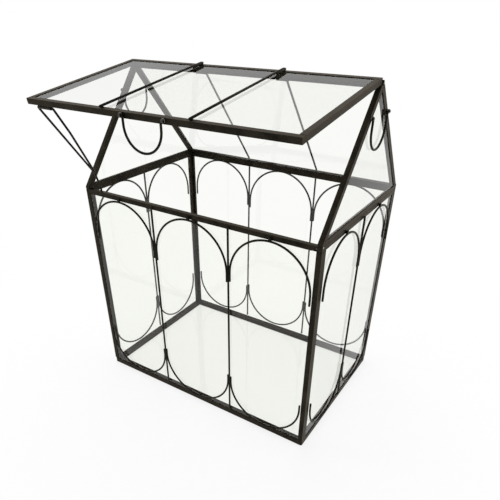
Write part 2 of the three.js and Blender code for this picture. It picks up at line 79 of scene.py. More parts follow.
# Edges of the bars, and the seam along a rafter's outer side
BAR_EDGES = {"roll": 0.0006, "narrowest": 0.0019, "segments": 3}
KNUCKLE_EDGES = {"roll": 0.00025, "narrowest": 0.0007, "segments": 2}
ROLLED_ANGLE = math.radians(25)
SHORTEST_IN_ROLLS = 3
SEAM_DEPTHS = (0.0034, 0.0039)
SEAM_SINK = 0.0004
SEAM_SLANT = SEAM_SINK / 10

# Lid
LID_SLOPE = math.radians(8.2)
LID_TURN = Matrix.Rotation(LID_SLOPE, 4, "X")
LID_PLACE = Matrix.Translation(joint_places["lid_hinge"]) @ LID_TURN
LID_HALF_WIDTH = 0.1983
LID_BACK = 0.0029
LID_FRONT = -0.201425
LID_UNDERSIDE = 0.00282
LID_TOP = 0.01002
LID_BAR = 0.0072
LIP_ROLL = 0.0004
SHORTEST_LIP = 0.1
PANE_RISE = 0.0016

# Wirework: uprights, and an upper and a lower row of arches
WIRE = 0.0015
MULLION = 0.066
BACK_SHIFT = -0.003
UPRIGHT_MIDDLE = 0.17
SOLDERED_TOP = 0.333
ARCH_PITCH = 0.0026
LONG_WALL_END = 0.191
SHORT_WALL_END = 0.119
UPPER_CROWN = 0.328
LOWER_CROWN = 0.0108
UPPER_LEGS = 0.0135
LOWER_LEGS = 0.0103
NUB_HALF_WIDTH = 0.0023
NUB_ROUNDING = 0.0009
ARCH_STEPS = 44

# Beads of solder on the wirework: half sizes along the wall, out from it and in height
UPRIGHT_FOOT_BEAD = (0.0023, 0.0014, 0.0022)
UPRIGHT_HEAD_BEAD = (0.0023, 0.0014, 0.0014)
ARCH_FOOT_BEAD = (0.0013, 0.0013, 0.0024)
CORNER_FOOT_BEAD = (0.0014, 0.0013, 0.0026)
CROWN_BEAD = (0.0031, 0.0013, 0.0014)
ARCH_BEAD_RISE = 0.0026
CORNER_NEARNESS = 0.001

# Rods on the lid, each hooked back on itself at the ridge
ROD_INSET = 0.0009
ROD_MIDDLE = -0.1
HOOK_RADIUS = 0.0017
HOOK_START = 0.004
HOOK_LENGTH = 0.025
HOOK_SPREAD = 0.0055
HOOK_STEPS = 16
ROD_BEAD = (0.0021, 0.0036, 0.0012)
ROD_BEAD_BACK = 0.0042
ROD_BEAD_DROP = 0.0007

# Handles (half width between the legs, length of a leg) and the lugs that hold them
LID_BAIL = (0.0283, 0.01)
GABLE_BAIL = (0.025, 0.0155)
BAIL_CORNER = 0.0024
BAIL_STEPS = 40
LUG_LENGTH = 0.003
LUG_BORE = 0.0018
LUG_WALL = 0.00077
LUG_REACH = 0.0019
LUG_ROUNDING = 0.00028
LUG_STEPS = 32
# Half sizes of the pale drop under each lug, whose pale colour is a painted glint
PAD_BEAD = (0.0009, 0.0021, 0.0029)
PAD_RISE = 0.0008

# Prop
PROP_HALF_SPREAD = 0.0147
PROP_BOW = 0.0018
PROP_BOW_SHARE = 0.35
PROP_MEET = (0.0105, -0.1464, 0.3708)
PROP_FOOT_Y = -0.1295
PROP_FOOT_RISE = 0.0055
PROP_TIP_GAP = 0.00035
PROP_MERGE = 0.006
PROP_LEG_OVERLAP = 0.001
PROP_BEND = 0.0026
PROP_BOW_BEND = 0.06
PROP_BOW_STEPS = 14
PROP_BEAD = (0.0021, 0.0018, 0.0052)
PROP_BEAD_SHARE = 0.7

# Solder in the case's four corners: inset of the bead, its height and half sizes, and a seed
CORNER_INSET = (0.0032, 0.0036)
CORNER_BEADS = (
    (BASE_HEIGHT, (0.0031, 0.0034, 0.0009), 0),
    (EAVE_BOTTOM - 0.0002, (0.0031, 0.0034, 0.0011), 5),
)
# Solder at each end: inset from the end's face, place in depth, height, half sizes and a seed
END_BEADS = (
    (0.0035, -HALF_DEPTH + 0.0062, FRONT_EAVE_TOP + 0.0012, (0.0034, 0.0042, 0.0022), 3),
    (0.0035, HALF_DEPTH - 0.0068, WALL_EAVE_TOP + 0.0008, (0.0034, 0.0046, 0.0014), 4),
    (0.0036, -0.0008, RIDGE_HEIGHT - 0.0068, (0.0036, 0.0022, 0.0024), 7),
)
# Large drop at the left front corner, and small pale spots on the right end: place, half sizes,
# seed
LARGE_DROP = (
    (-HALF_WIDTH + 0.0062, -HALF_DEPTH + 0.0045, FRONT_EAVE_TOP + 0.0022),
    (0.0058, 0.0041, 0.0036), 1.1,
)
PALE_SPOTS = (
    (
        (HALF_WIDTH - 0.0001, -HALF_DEPTH + 0.0034, FRONT_EAVE_TOP - 0.0012),
        (0.0005, 0.0017, 0.0015), 0.4,
    ),
    ((HALF_WIDTH - 0.0001, 0.0012, RIDGE_HEIGHT - 0.0042), (0.0005, 0.0016, 0.0013), 0.9),
)
# Solder on the lid's mitres and on the tube that carries the prop
MITRE_BEAD = (0.0034, 0.0011, 0.0006)
MITRE_BEAD_SINK = 0.0002
INNER_CORNER_BEAD = (0.0014, 0.0014, 0.0031)
TUBE_X = -0.17
TUBE_BEAD = (0.0026, 0.0024, 0.0009)
TUBE_BEAD_SHIFT = 0.0085
TUBE_BEAD_BACK = 0.0031
TUBE_BEAD_DROP = 0.0003

# Round wires, with the height and rim of the dome at each end as shares of the wire's radius
WIRE_SIDES = 14
HANDLE_WIRE_SIDES = 16
DOME_RISE = 0.4
DOME_RIM = 0.55

# Drops of solder: size, wave and ripple as shares of the half sizes, and turns of the lumps
BEAD_SIZE = 0.91
BEAD_WAVE = 0.06
BEAD_RIPPLE = 0.03
BEAD_TURNS = (5.1, 7.7, 4.3)

# Factors in the seeds of the drops, and the seed of the drop on the prop
UPRIGHT_SEEDS = 90
ARCH_SEEDS = 50
CROWN_SEEDS = 1.7
PAD_SEEDS = (300, 70)
MITRE_SEEDS = 30
TUBE_SEEDS = 400
PROP_SEED = 2.2

# Tolerances and limits for meshes
WELD = 1e-6
SOLID_WELD = 2e-6
FLAT = math.radians(1)
NEAR = 1e-5
STEEP = 0.8
SIDEWAYS = 0.9

# Studio
FLOOR_HALF_SIZE = 30
FLOOR_DROP = 0.0004
FLOOR_GREY = 0.9
FLOOR_FADE = ((0.3, 0.82), (0.7, 1.0))
ROOM_LIGHT = 0.42
BACKDROP_WHITE = 1.0
WHITE = (1, 1, 1, 1)
LAMPS = (
    # name, place, size, watts
    ("overhead", (-0.28, 0.42, 1.75), 1.3, 20.0),
    ("window", (-1.06, -0.44, 1.16), 0.5, 4.5),
    ("doorway", (1.5, 0.55, 0.6), 0.9, 8.5),
)
LAMPS_AIM = Vector((0, 0, 0.25))

# Camera, as solved from the photograph, with the first three values in its pixels
PICTURE = 500
FOCAL_LENGTH = 488.2
OPTICAL_CENTRE = (237.2, 333.9)
FILM_WIDTH = 36
CAMERA_PLACE = (0.4069, -0.6330, 0.5786)
CAMERA_FORWARD = (-0.45134, 0.68958, -0.56637)


# Finishes
WARM_SHINE = (1.0, 0.93, 0.82, 1)


def texture(tree, kind, **settings):
    """Procedural texture laid over the object's own coordinates."""
    node = tree.nodes.new(kind)
    place = tree.nodes.get("Object Place")
    if place is None:
        place = tree.nodes.new("ShaderNodeTexCoord")
        place.name = "Object Place"
    tree.links.new(place.outputs["Object"], node.inputs["Vector"])
    for key, value in settings.items():
        node.inputs[key].default_value = value
    return node


def ramp(tree, source, stops):
    """Colour ramp through stops of (place, grey) or (place, colour)."""
    node = tree.nodes.new("ShaderNodeValToRGB")
    tree.links.new(source, node.inputs["Fac"])
    elements = node.color_ramp.elements
    for element, (place, shade) in zip(elements, stops, strict=True):
        element.position = place
        element.color = (*shade, 1) if isinstance(shade, tuple) else (shade, shade, shade, 1)
    return node.outputs["Color"]


def blend_colours(tree, share, first, second):
    """Goes from the first colour, a socket, to the second, a plain colour, by the share."""
    node = tree.nodes.new("ShaderNodeMix")
    node.data_type = "RGBA"
    factor, first_colour, second_colour, blend = (
        node.inputs[0], node.inputs[6], node.inputs[7], node.outputs[2]
    )
    tree.links.new(share, factor)
    tree.links.new(first, first_colour)
    second_colour.default_value = (*second, 1)
    return blend


def calculate(tree, operation, first, second):
    """Math node on two values, each a socket or a number."""
    node = tree.nodes.new("ShaderNodeMath")
    node.operation = operation
    for socket, value in zip(node.inputs, (first, second)):
        if isinstance(value, float):
            socket.default_value = value
        else:
            tree.links.new(value, socket)
    return node.outputs["Value"]


def mix_shaders(tree, share, first, second):
    """Shader that goes from the first to the second by the share."""
    node = tree.nodes.new("ShaderNodeMixShader")
    tree.links.new(share, node.inputs["Fac"])
    tree.links.new(first, node.inputs[1])
    tree.links.new(second, node.inputs[2])
    return node.outputs["Shader"]


def bare_material(name):
    """Material with nothing but its output."""
    material = bpy.data.materials.new(name)
    material.use_nodes = True
    tree = material.node_tree
    tree.nodes.clear()
    return material, tree, tree.nodes.new("ShaderNodeOutputMaterial").inputs["Surface"]


def edge_share(tree, radius):
    """Share of rubbed metal: about a half along sharp edges, none on the faces between them."""
    rounded = tree.nodes.new("ShaderNodeBevel")
    rounded.samples = 4
    rounded.inputs["Radius"].default_value = radius
    geometry = tree.nodes.new("ShaderNodeNewGeometry")
    agreement = tree.nodes.new("ShaderNodeVectorMath")
    agreement.operation = "DOT_PRODUCT"
    tree.links.new(rounded.outputs["Normal"], agreement.inputs[0])
    tree.links.new(geometry.outputs["Normal"], agreement.inputs[1])
    return ramp(tree, agreement.outputs["Value"], [(0.84, 0.55), (0.99, 0.0)])


def patina_material(
    name, dark, warm, worn, roughness, grain_size, metallic=0.5, gloss=0.12, rub=0.0
):
    """Blackened metal: mottled patina with pale specks, rubbed edges and a fine grain."""
    material = bpy.data.materials.new(name)
    material.use_nodes = True
    tree = material.node_tree
    shader = tree.nodes["Principled BSDF"]
    mottle = texture(tree, "ShaderNodeTexNoise", Scale=42.0, Detail=6.0, Roughness=0.62)
    patina = ramp(tree, mottle.outputs["Fac"], [(0.36, dark), (0.66, warm)])
    specks = texture(tree, "ShaderNodeTexNoise", Scale=520.0, Detail=2.0, Roughness=0.5)
    speck_share = ramp(tree, specks.outputs["Fac"], [(0.6, 0.0), (0.74, 0.3)])
    colour = blend_colours(tree, speck_share, patina, worn)
    if rub:
        colour = blend_colours(tree, edge_share(tree, rub), colour, worn)
    tree.links.new(colour, shader.inputs["Base Color"])
    smoothest, roughest = roughness - 0.06, roughness + 0.1
    spread = ramp(tree, mottle.outputs["Fac"], [(0.3, smoothest), (0.75, roughest)])
    tree.links.new(spread, shader.inputs["Roughness"])
    grain = texture(tree, "ShaderNodeTexNoise", Scale=900.0, Detail=3.0, Roughness=0.7)
    bump = tree.nodes.new("ShaderNodeBump")
    bump.inputs["Strength"].default_value = 0.25
    bump.inputs["Distance"].default_value = grain_size
    tree.links.new(grain.outputs["Fac"], bump.inputs["Height"])
    tree.links.new(bump.outputs["Normal"], shader.inputs["Normal"])
    shader.inputs["Metallic"].default_value = metallic
    shader.inputs["Specular IOR Level"].default_value = gloss
    shader.inputs["Specular Tint"].default_value = WARM_SHINE
    return material


def glass_material(name, tint, pale_tint):
    """Thin clear pane: see-through with a faint green cast, mirror-like at a low angle."""
    material, tree, surface = bare_material(name)
    clear = tree.nodes.new("ShaderNodeBsdfTransparent")
    cloud = texture(tree, "ShaderNodeTexNoise", Scale=7.0, Detail=3.0, Roughness=0.5)
    cast = ramp(tree, cloud.outputs["Fac"], [(0.3, tint), (0.7, pale_tint)])
    tree.links.new(cast, clear.inputs["Color"])
    gloss = tree.nodes.new("ShaderNodeBsdfGlossy")
    smear = texture(tree, "ShaderNodeTexNoise", Scale=16.0, Detail=4.0, Roughness=0.6)
    haze = ramp(tree, smear.outputs["Fac"], [(0.35, 0.015), (0.75, 0.06)])
    tree.links.new(haze, gloss.inputs["Roughness"])
    fresnel = tree.nodes.new("ShaderNodeFresnel")
    fresnel.inputs["IOR"].default_value = 1.52
    geometry = tree.nodes.new("ShaderNodeNewGeometry")
    outer_face = calculate(tree, "SUBTRACT", 1.0, geometry.outputs["Backfacing"])
    share = calculate(tree, "MULTIPLY", fresnel.outputs["Fac"], outer_face)
    pane = mix_shaders(tree, share, clear.outputs["BSDF"], gloss.outputs["BSDF"])
    tree.links.new(pane, surface)
    return material


BRONZE = patina_material(
    "blackened_bronze", roughness=0.46, grain_size=0.0002, metallic=0.6, gloss=0.1, rub=0.0004,
    dark=(0.009, 0.0075, 0.005), warm=(0.028, 0.0235, 0.0165), worn=(0.08, 0.07, 0.055),
)
BLACK_WIRE = patina_material(
    "black_wire", roughness=0.4, grain_size=0.00015,
    dark=(0.005, 0.0045, 0.0035), warm=(0.013, 0.0115, 0.009), worn=(0.045, 0.04, 0.033),
)
SOLDER = patina_material(
    "dark_solder", roughness=0.38, grain_size=0.0004,
    dark=(0.007, 0.0065, 0.005), warm=(0.022, 0.020, 0.017), worn=(0.08, 0.074, 0.066),
)
# Paler solder for the lugs' rings: painted sheen, lighter than the dark solder
SHEEN_SOLDER = patina_material(
    "lug_sheen_solder", roughness=0.35, grain_size=0.0003, metallic=0.7, gloss=0.4,
    dark=(0.035, 0.033, 0.03), warm=(0.085, 0.081, 0.075), worn=(0.25, 0.24, 0.23),
)
# Pale solder: on the lugs' pads its pale colour is a painted glint; it also colours the small pale
# spots on the right end
BRIGHT_SOLDER = patina_material(
    "pale_solder", roughness=0.32, grain_size=0.0004, metallic=0.85, gloss=0.5,
    dark=(0.20, 0.195, 0.185), warm=(0.42, 0.41, 0.395), worn=(0.6, 0.59, 0.57),
)
CLEAR_GLASS = glass_material(
    "clear_glass", tint=(0.983, 0.986, 0.972), pale_tint=(0.989, 0.992, 0.979)
)


# Meshes
def add_object(name, data):
    thing = bpy.data.objects.new(name, data)
    bpy.context.scene.collection.objects.link(thing)
    return thing


def finish_piece(name, mesh_data, body, material, replaces=(), smooth=True):
    """Turns a bmesh into a piece that rides on a body and takes the finish of a material slot."""
    bmesh.ops.remove_doubles(mesh_data, verts=mesh_data.verts, dist=WELD)
    bmesh.ops.recalc_face_normals(mesh_data, faces=mesh_data.faces)
    if smooth:
        for face in mesh_data.faces:
            face.smooth = True
    mesh = bpy.data.meshes.new(name)
    mesh_data.to_mesh(mesh)
    mesh_data.free()
    mesh.materials.append(material)
    piece = add_object(name, mesh)
    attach(piece, body)
    if replaces:
        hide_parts(*replaces)


def solid_copy(node):
    """Welded copy of a solid of the CAD model."""
    mesh_data = bmesh.new()
    mesh_data.from_mesh(nodes[node].data)
    bmesh.ops.remove_doubles(mesh_data, verts=mesh_data.verts, dist=SOLID_WELD)
    return mesh_data


def join_flat_faces(mesh_data):
    """Makes one face of the triangles that lie in one plane."""
    bmesh.ops.dissolve_limit(
        mesh_data, angle_limit=FLAT, verts=mesh_data.verts, edges=mesh_data.edges
    )


def whole(mesh_data):
    """All parts of a mesh, as the operators that cut take them."""
    return mesh_data.verts[:] + mesh_data.edges[:] + mesh_data.faces[:]


def bevel(mesh_data, parts, offset, segments, affect="EDGES"):
    return bmesh.ops.bevel(
        mesh_data, geom=parts, offset=offset, offset_type="OFFSET", segments=segments,
        profile=0.5, affect=affect, material=-1, clamp_overlap=True,
    )


def edges_at(vertices):
    """Edges that touch the vertices, each once, in an order that is the same each run."""
    return list(dict.fromkeys(edge for vertex in vertices for edge in vertex.link_edges))


def axes_matrix(x_axis, y_axis, z_axis):
    """Turn that lays x, y and z along the given axes."""
    return Matrix((x_axis, y_axis, z_axis)).transposed().to_4x4()


def half_turn(steps):
    """Angles from zero to a half turn."""
    return [math.pi * i / steps for i in range(steps + 1)]


def rounded_path(corners, radius, steps=8):
    """Straight runs through the corners, each inner corner rounded."""
    path = [corners[0].copy()]
    for before, corner, after in zip(corners, corners[1:], corners[2:]):
        arriving = (corner - before).normalized()
        leaving = (after - corner).normalized()
        reach = radius * math.tan(arriving.angle(leaving) / 2)
        start = corner - arriving * reach
        end = corner + leaving * reach
        for i in range(steps + 1):
            t = i / steps
            path.append(start.lerp(corner, t).lerp(corner.lerp(end, t), t))
    path.append(corners[-1].copy())
    return path


def add_wire(mesh_data, path, sides=WIRE_SIDES):
    """Draws a round wire along a path by extruding one ring, its ends closed with low domes."""
    last = len(path) - 1
    tangents = [
        (path[min(i + 1, last)] - path[max(i - 1, 0)]).normalized() for i in range(last + 1)
    ]
    dome = WIRE * DOME_RISE
    stations = [
        (path[0], tangents[0], DOME_RIM),
        (path[0] + tangents[0] * dome, tangents[0], 1.0),
        *[(place, tangent, 1.0) for place, tangent in zip(path[1:-1], tangents[1:-1])],
        (path[-1] - tangents[-1] * dome, tangents[-1], 1.0),
        (path[-1], tangents[-1], DOME_RIM),
    ]
    steep = abs(tangents[0].z) >= STEEP
    side = tangents[0].cross(ALONG_Y if steep else UP).normalized()
    ring = bmesh.ops.create_circle(mesh_data, segments=sides, radius=WIRE)["verts"]
    edges = edges_at(ring)
    standing = Matrix.Identity(4)
    for i, (place, tangent, share) in enumerate(stations):
        side = (side - tangent * side.dot(tangent)).normalized()
        up = tangent.cross(side)
        placed = Matrix.Translation(place) @ axes_matrix(side * share, up * share, tangent)
        if i:
            made = bmesh.ops.extrude_edge_only(mesh_data, edges=edges)["geom"]
            ring = [part for part in made if isinstance(part, bmesh.types.BMVert)]
            edges = [
                part for part in made if isinstance(part, bmesh.types.BMEdge) and part.is_boundary
            ]
        bmesh.ops.transform(mesh_data, matrix=placed @ standing.inverted(), verts=ring)
        standing = placed
    bmesh.ops.holes_fill(mesh_data, edges=mesh_data.edges, sides=0)


def add_bead(mesh_data, place, half_sizes, seed, turn=UNTURNED):
    """Drop of solder within the given half sizes. The seed, any number, places its lumps."""
    turns_x, turns_y, turns_z = BEAD_TURNS
    ball = bmesh.ops.create_icosphere(mesh_data, subdivisions=3, radius=1)["verts"]
    for vertex in ball:
        x, y, z = vertex.co
        wave = BEAD_WAVE * math.sin(turns_x * x + seed) * math.cos(turns_z * z + 2 * seed)
        vertex.co *= BEAD_SIZE + wave + BEAD_RIPPLE * math.sin(turns_y * y + 3 * seed)
    stretch = Matrix.Diagonal((*half_sizes, 1))
    placed = Matrix.Translation(place) @ turn @ stretch
    bmesh.ops.transform(mesh_data, matrix=placed, verts=ball)


def add_soft_block(mesh_data, centre, half_sizes, rounding):
    """Small block with well rounded edges."""
    block = bmesh.ops.create_cube(mesh_data, size=2)["verts"]
    placed = Matrix.Translation(centre) @ Matrix.Diagonal((*half_sizes, 1))
    bmesh.ops.transform(mesh_data, matrix=placed, verts=block)
    bevel(mesh_data, edges_at(block), rounding, segments=3)


# Bars and panes
def face_reach(face, edge):
    """How far a face reaches away from one of its edges."""
    start, end = (vertex.co for vertex in edge.verts)
    along = (end - start).normalized()
    return max(((v.co - start) - along * (v.co - start).dot(along)).length for v in face.verts)


def is_lid_lip(edge):
    """Tells the long upper edges of the lid's bars that face the pane."""
    ends = [LID_PLACE.inverted() @ vertex.co for vertex in edge.verts]
    if min(end.z for end in ends) < LID_TOP - NEAR:
        return False
    if abs(ends[0].y - ends[1].y) < NEAR:
        inner_lines = (LID_FRONT + LID_BAR, LID_BACK - LID_BAR)
        on_line = min(abs(ends[0].y - line) for line in inner_lines) < 2 * NEAR
        return on_line and edge.calc_length() > SHORTEST_LIP
    return abs(abs(ends[0].x) - (LID_HALF_WIDTH - LID_BAR)) < 2 * NEAR


def sink_seam(mesh_data, node):
    """Presses the seam between the two halves of a rafter into its outer side."""
    falling = -1 if "front" in node else 1
    slope = Vector((0, falling * math.sin(ROOF_PITCH), math.cos(ROOF_PITCH)))
    ridge = Vector((0, 0, RIDGE_HEIGHT))
    for depth in SEAM_DEPTHS:
        bmesh.ops.bisect_plane(
            mesh_data, geom=whole(mesh_data), plane_co=ridge - slope * depth, plane_no=slope
        )
    outer_strips = [
        face for face in mesh_data.faces
        if abs(face.normal.x) > SIDEWAYS
        and min(abs(vertex.co.x) for vertex in face.verts) > HALF_WIDTH - NEAR
        and SEAM_DEPTHS[0] < (ridge - face.calc_center_median()).dot(slope) < SEAM_DEPTHS[1]
    ]
    bmesh.ops.inset_individual(
        mesh_data, faces=outer_strips, thickness=SEAM_SLANT, depth=-SEAM_SINK
    )


def soft_bar(node, body, material, roll, narrowest, segments):
    """The same bar with its long outer edges rolled over, as folded sheet has them."""
    mesh_data = solid_copy(node)
    join_flat_faces(mesh_data)
    bmesh.ops.recalc_face_normals(mesh_data, faces=mesh_data.faces)
    if node.startswith("rafter"):
        sink_seam(mesh_data, node)
    if node.startswith("lid_bar"):
        lips = [edge for edge in mesh_data.edges if is_lid_lip(edge)]
        bevel(mesh_data, lips, LIP_ROLL, segments=4)
    rolled = [
        edge for edge in mesh_data.edges
        if len(edge.link_faces) == 2
        and edge.is_convex
        and edge.calc_face_angle(0) > ROLLED_ANGLE
        and edge.calc_length() > SHORTEST_IN_ROLLS * roll
        and min(face_reach(face, edge) for face in edge.link_faces) > narrowest
    ]
    for face in bevel(mesh_data, rolled, roll, segments)["faces"]:
        face.smooth = True
    finish_piece(f"{node}_soft", mesh_data, body, material, [node], smooth=False)


def make_putty(pane, body):
    """Dark putty that fills the channels round a pane, flush with their lips."""
    mesh_data = solid_copy(pane)
    join_flat_faces(mesh_data)
    panels = sorted(mesh_data.faces, key=lambda face: face.calc_area())[-2:]
    bmesh.ops.inset_individual(
        mesh_data, faces=panels, thickness=PANE_GRIP, use_even_offset=True
    )
    rims = [edge for face in panels for edge in face.edges]
    bmesh.ops.delete(mesh_data, geom=panels, context="FACES_ONLY")
    bmesh.ops.bridge_loops(mesh_data, edges=rims)
    finish_piece(f"putty_{pane}", mesh_data, body, BRONZE, smooth=False)


def raise_lid_pane():
    """Lays the lid's pane close under the thin upper lip of its channels."""
    mesh_data = solid_copy("lid_glass")
    rise = LID_TURN.to_3x3() @ Vector((0, 0, PANE_RISE))
    bmesh.ops.translate(mesh_data, vec=rise, verts=mesh_data.verts)
    finish_piece(
        "lid_pane", mesh_data, "lid", CLEAR_GLASS, ["lid_glass"], smooth=False
    )


def dress_bars_and_panes():
    for node, thing in nodes.items():
        clear = node.startswith("glass_") or node == "lid_glass"
        finish = CLEAR_GLASS if clear else BLACK_WIRE if node.startswith(WIRES) else BRONZE
        thing.material_slots[0].material = finish
    for node in nodes:
        if node.startswith(CASE_BARS):
            soft_bar(node, "frame", BRONZE, **BAR_EDGES)
        elif node.startswith("lid_bar"):
            soft_bar(node, "lid", BRONZE, **BAR_EDGES)
        elif node.startswith("ridge_hinge"):
            soft_bar(node, "frame", SOLDER, **KNUCKLE_EDGES)
        elif node.startswith("lid_hinge") or node == "prop_tube":
            soft_bar(node, "lid", SOLDER, **KNUCKLE_EDGES)
        elif node.startswith("glass_"):
            make_putty(node, "frame")
        elif node == "lid_glass":
            make_putty(node, "lid")
            raise_lid_pane()


# Wires over the walls
def wall_place(wall):
    """Gives the function that turns (along, height) on a wall into a point on its wires."""
    side = -1 if wall in ("front", "left") else 1
    if wall in LONG_WALLS:
        return lambda along, height: Vector((along, side * (HALF_DEPTH + FIT + WIRE), height))
    return lambda along, height: Vector((side * (HALF_WIDTH + FIT + WIRE), along, height))


def wall_sizes(wall, along, out, height):
    """Turns half sizes along a wall, out from it and in height into x, y and z."""
    return (along, out, height) if wall in LONG_WALLS else (out, along, height)


def add_arch(wires, place, centre, radius, middle, feet, pointing):
    """Half circle that points up (1) or down (-1), on two straight legs."""
    curve = [
        place(centre - radius * math.cos(turn), middle + pointing * radius * math.sin(turn))
        for turn in half_turn(ARCH_STEPS)
    ]
    add_wire(wires, [place(centre - radius, feet), *curve, place(centre + radius, feet)])


def make_wirework(wall):
    """Uprights and two rows of arches on a wall, and the solder at their feet and crowns."""
    place = wall_place(wall)
    uprights, end = [0.0], SHORT_WALL_END
    if wall in LONG_WALLS:
        shift = BACK_SHIFT if wall == "back" else 0.0
        uprights, end = [shift - MULLION, shift + MULLION], LONG_WALL_END
    wires, beads = bmesh.new(), bmesh.new()

    def solder(along, height, half_sizes, seed):
        add_bead(beads, place(along, height), wall_sizes(wall, *half_sizes), seed)

    for i, along in enumerate(uprights):
        heights = (BASE_HEIGHT + FIT, UPRIGHT_MIDDLE, SOLDERED_TOP)
        add_wire(wires, [place(along, height) for height in heights])
        for height, half_sizes in (
            (BASE_HEIGHT + UPRIGHT_FOOT_BEAD[2], UPRIGHT_FOOT_BEAD),
            (SOLDERED_TOP - UPRIGHT_HEAD_BEAD[2], UPRIGHT_HEAD_BEAD),
        ):
            solder(along, height, half_sizes, seed=i + height * UPRIGHT_SEEDS)

    lows = [-end] + [along + ARCH_PITCH for along in uprights]
    highs = [along - ARCH_PITCH for along in uprights] + [end]
    for bay, (low, high) in enumerate(zip(lows, highs)):
        centre, radius = (low + high) / 2, (high - low) / 2
        for crown, pointing, legs in (
            (UPPER_CROWN, 1, UPPER_LEGS), (LOWER_CROWN, -1, LOWER_LEGS)
        ):
            middle = crown - pointing * radius
            feet = middle - pointing * legs
            add_arch(wires, place, centre, radius, middle, feet, pointing)
            height = feet + pointing * ARCH_BEAD_RISE
            for sign in (-1, 1):
                foot = centre + sign * radius
                seed = bay + sign + height * ARCH_SEEDS
                if abs(foot) > end - CORNER_NEARNESS:
                    solder(foot, height, CORNER_FOOT_BEAD, seed)
                else:
                    solder(foot + sign * ARCH_PITCH / 2, height, ARCH_FOOT_BEAD, seed)
        nub_half_height = (SOLDERED_TOP - UPPER_CROWN) / 2
        nub = wall_sizes(wall, NUB_HALF_WIDTH, WIRE, nub_half_height)
        nub_place = place(centre, (SOLDERED_TOP + UPPER_CROWN) / 2)
        add_soft_block(wires, nub_place, nub, NUB_ROUNDING)
        solder(centre, LOWER_CROWN, CROWN_BEAD, seed=bay * CROWN_SEEDS)
    finish_piece(f"wires_{wall}", wires, "frame", BLACK_WIRE, [f"tracery_{wall}"])
    finish_piece(f"solder_{wall}", beads, "frame", SOLDER)


# Rods on the lid and on the fixed slope
def make_lid_rod(name, x, front, height):
    hook_y = LID_BACK - ROD_INSET - HOOK_RADIUS
    hook = [
        (x + HOOK_RADIUS + HOOK_RADIUS * math.cos(turn), hook_y + HOOK_RADIUS * math.sin(turn))
        for turn in reversed(half_turn(HOOK_STEPS))
    ]
    straight = [(x, front), (x, ROD_MIDDLE), (x, hook_y - HOOK_START)]
    returning = (x + HOOK_SPREAD, hook_y - HOOK_LENGTH)
    rod = bmesh.new()
    add_wire(rod, [LID_PLACE @ Vector((*spot, height)) for spot in (*straight, *hook, returning)])
    finish_piece(f"rod_{name}", rod, "lid", BLACK_WIRE, [f"lid_rod_{name}"])


def make_slope_rod(name, x):
    low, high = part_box(f"roof_rod_{name}")
    slope = Vector((0, high.y - low.y, low.z - high.z)).normalized()
    inset_y, inset_z = abs(slope.z * WIRE), abs(slope.y * WIRE)
    top = Vector((x, low.y + inset_y, high.z - inset_z))
    foot = Vector((x, high.y - inset_y, low.z + inset_z))
    rod = bmesh.new()
    add_wire(rod, [top, top.lerp(foot, 0.5), foot])
    finish_piece(f"slope_rod_{name}", rod, "frame", BLACK_WIRE, [f"roof_rod_{name}"])


def make_rods():
    height = LID_TOP + FIT + WIRE
    front = LID_FRONT + ROD_INSET
    beads = bmesh.new()
    for name, side in ENDS:
        x = side * MULLION
        make_lid_rod(name, x, front, height)
        make_slope_rod(name, x)
        tack = LID_PLACE @ Vector((x, front + ROD_BEAD_BACK, height - ROD_BEAD_DROP))
        add_bead(beads, tack, ROD_BEAD, side, LID_TURN)
    finish_piece("solder_rods", beads, "lid", SOLDER)


# Handles
def bail_path(pivot, across, radius, leg):
    """Bail handle as a path: a stub in each lug, straight legs and a half circle."""
    def place(along, drop):
        return pivot + across * along - Vector((0, 0, drop))

    stub = radius + WIRE + FIT + LUG_LENGTH + FIT
    sides = []
    for sign in (-1, 1):
        corners = [place(sign * stub, 0), place(sign * radius, 0), place(sign * radius, leg)]
        sides.append(rounded_path(corners, BAIL_CORNER)[:-1])
    half_circle = [
        place(-radius * math.cos(turn), leg + radius * math.sin(turn))
        for turn in half_turn(BAIL_STEPS)
    ]
    return [*sides[0], *half_circle, *reversed(sides[1])]


def make_lug(node, body, centre, axis, outward, turned=UNTURNED):
    """Ring round a handle's stub, cut flat where it meets the bar, on a drop of solder; the ring's
    paler solder is painted sheen and the drop's pale colour is a painted glint.
    """
    ring = bmesh.new()
    section = bmesh.ops.create_grid(ring, x_segments=1, y_segments=1, size=1)["verts"]
    half_section = Matrix.Diagonal((LUG_WALL / 2, LUG_LENGTH / 2, 1, 1))
    from_axis = Matrix.Translation((LUG_BORE + LUG_WALL / 2, 0, 0))
    bmesh.ops.transform(ring, matrix=from_axis @ half_section, verts=section)
    bevel(ring, ring.verts[:], LUG_ROUNDING, segments=3, affect="VERTICES")
    bmesh.ops.delete(ring, geom=ring.faces[:], context="FACES_ONLY")
    bmesh.ops.spin(
        ring, geom=ring.verts[:] + ring.edges[:], cent=(0, 0, 0), axis=ALONG_Y, steps=LUG_STEPS,
        angle=math.tau, use_merge=True,
    )
    cut = bmesh.ops.bisect_plane(
        ring, geom=whole(ring), plane_co=(-(LUG_REACH - FIT), 0, 0), plane_no=(-1, 0, 0),
        clear_outer=True,
    )
    rims = [part for part in cut["geom_cut"] if isinstance(part, bmesh.types.BMEdge)]
    bmesh.ops.holes_fill(ring, edges=rims, sides=0)
    stand = axes_matrix(outward, axis, outward.cross(axis))
    placed = turned @ Matrix.Translation(centre) @ stand
    bmesh.ops.transform(ring, matrix=placed, verts=ring.verts)
    # The ring's paler solder is painted sheen
    finish_piece(f"{node}_ring", ring, body, SHEEN_SOLDER, [node])

    # Pale drop under the lug: a painted glint
    glint_pad = bmesh.new()
    pad_seed = centre.x * PAD_SEEDS[0] + centre.y * PAD_SEEDS[1]
    add_bead(glint_pad, Vector((-LUG_REACH + PAD_RISE, 0, 0)), PAD_BEAD, pad_seed)
    bmesh.ops.transform(glint_pad, matrix=placed, verts=glint_pad.verts)
    finish_piece(f"{node}_pad", glint_pad, body, BRIGHT_SOLDER)


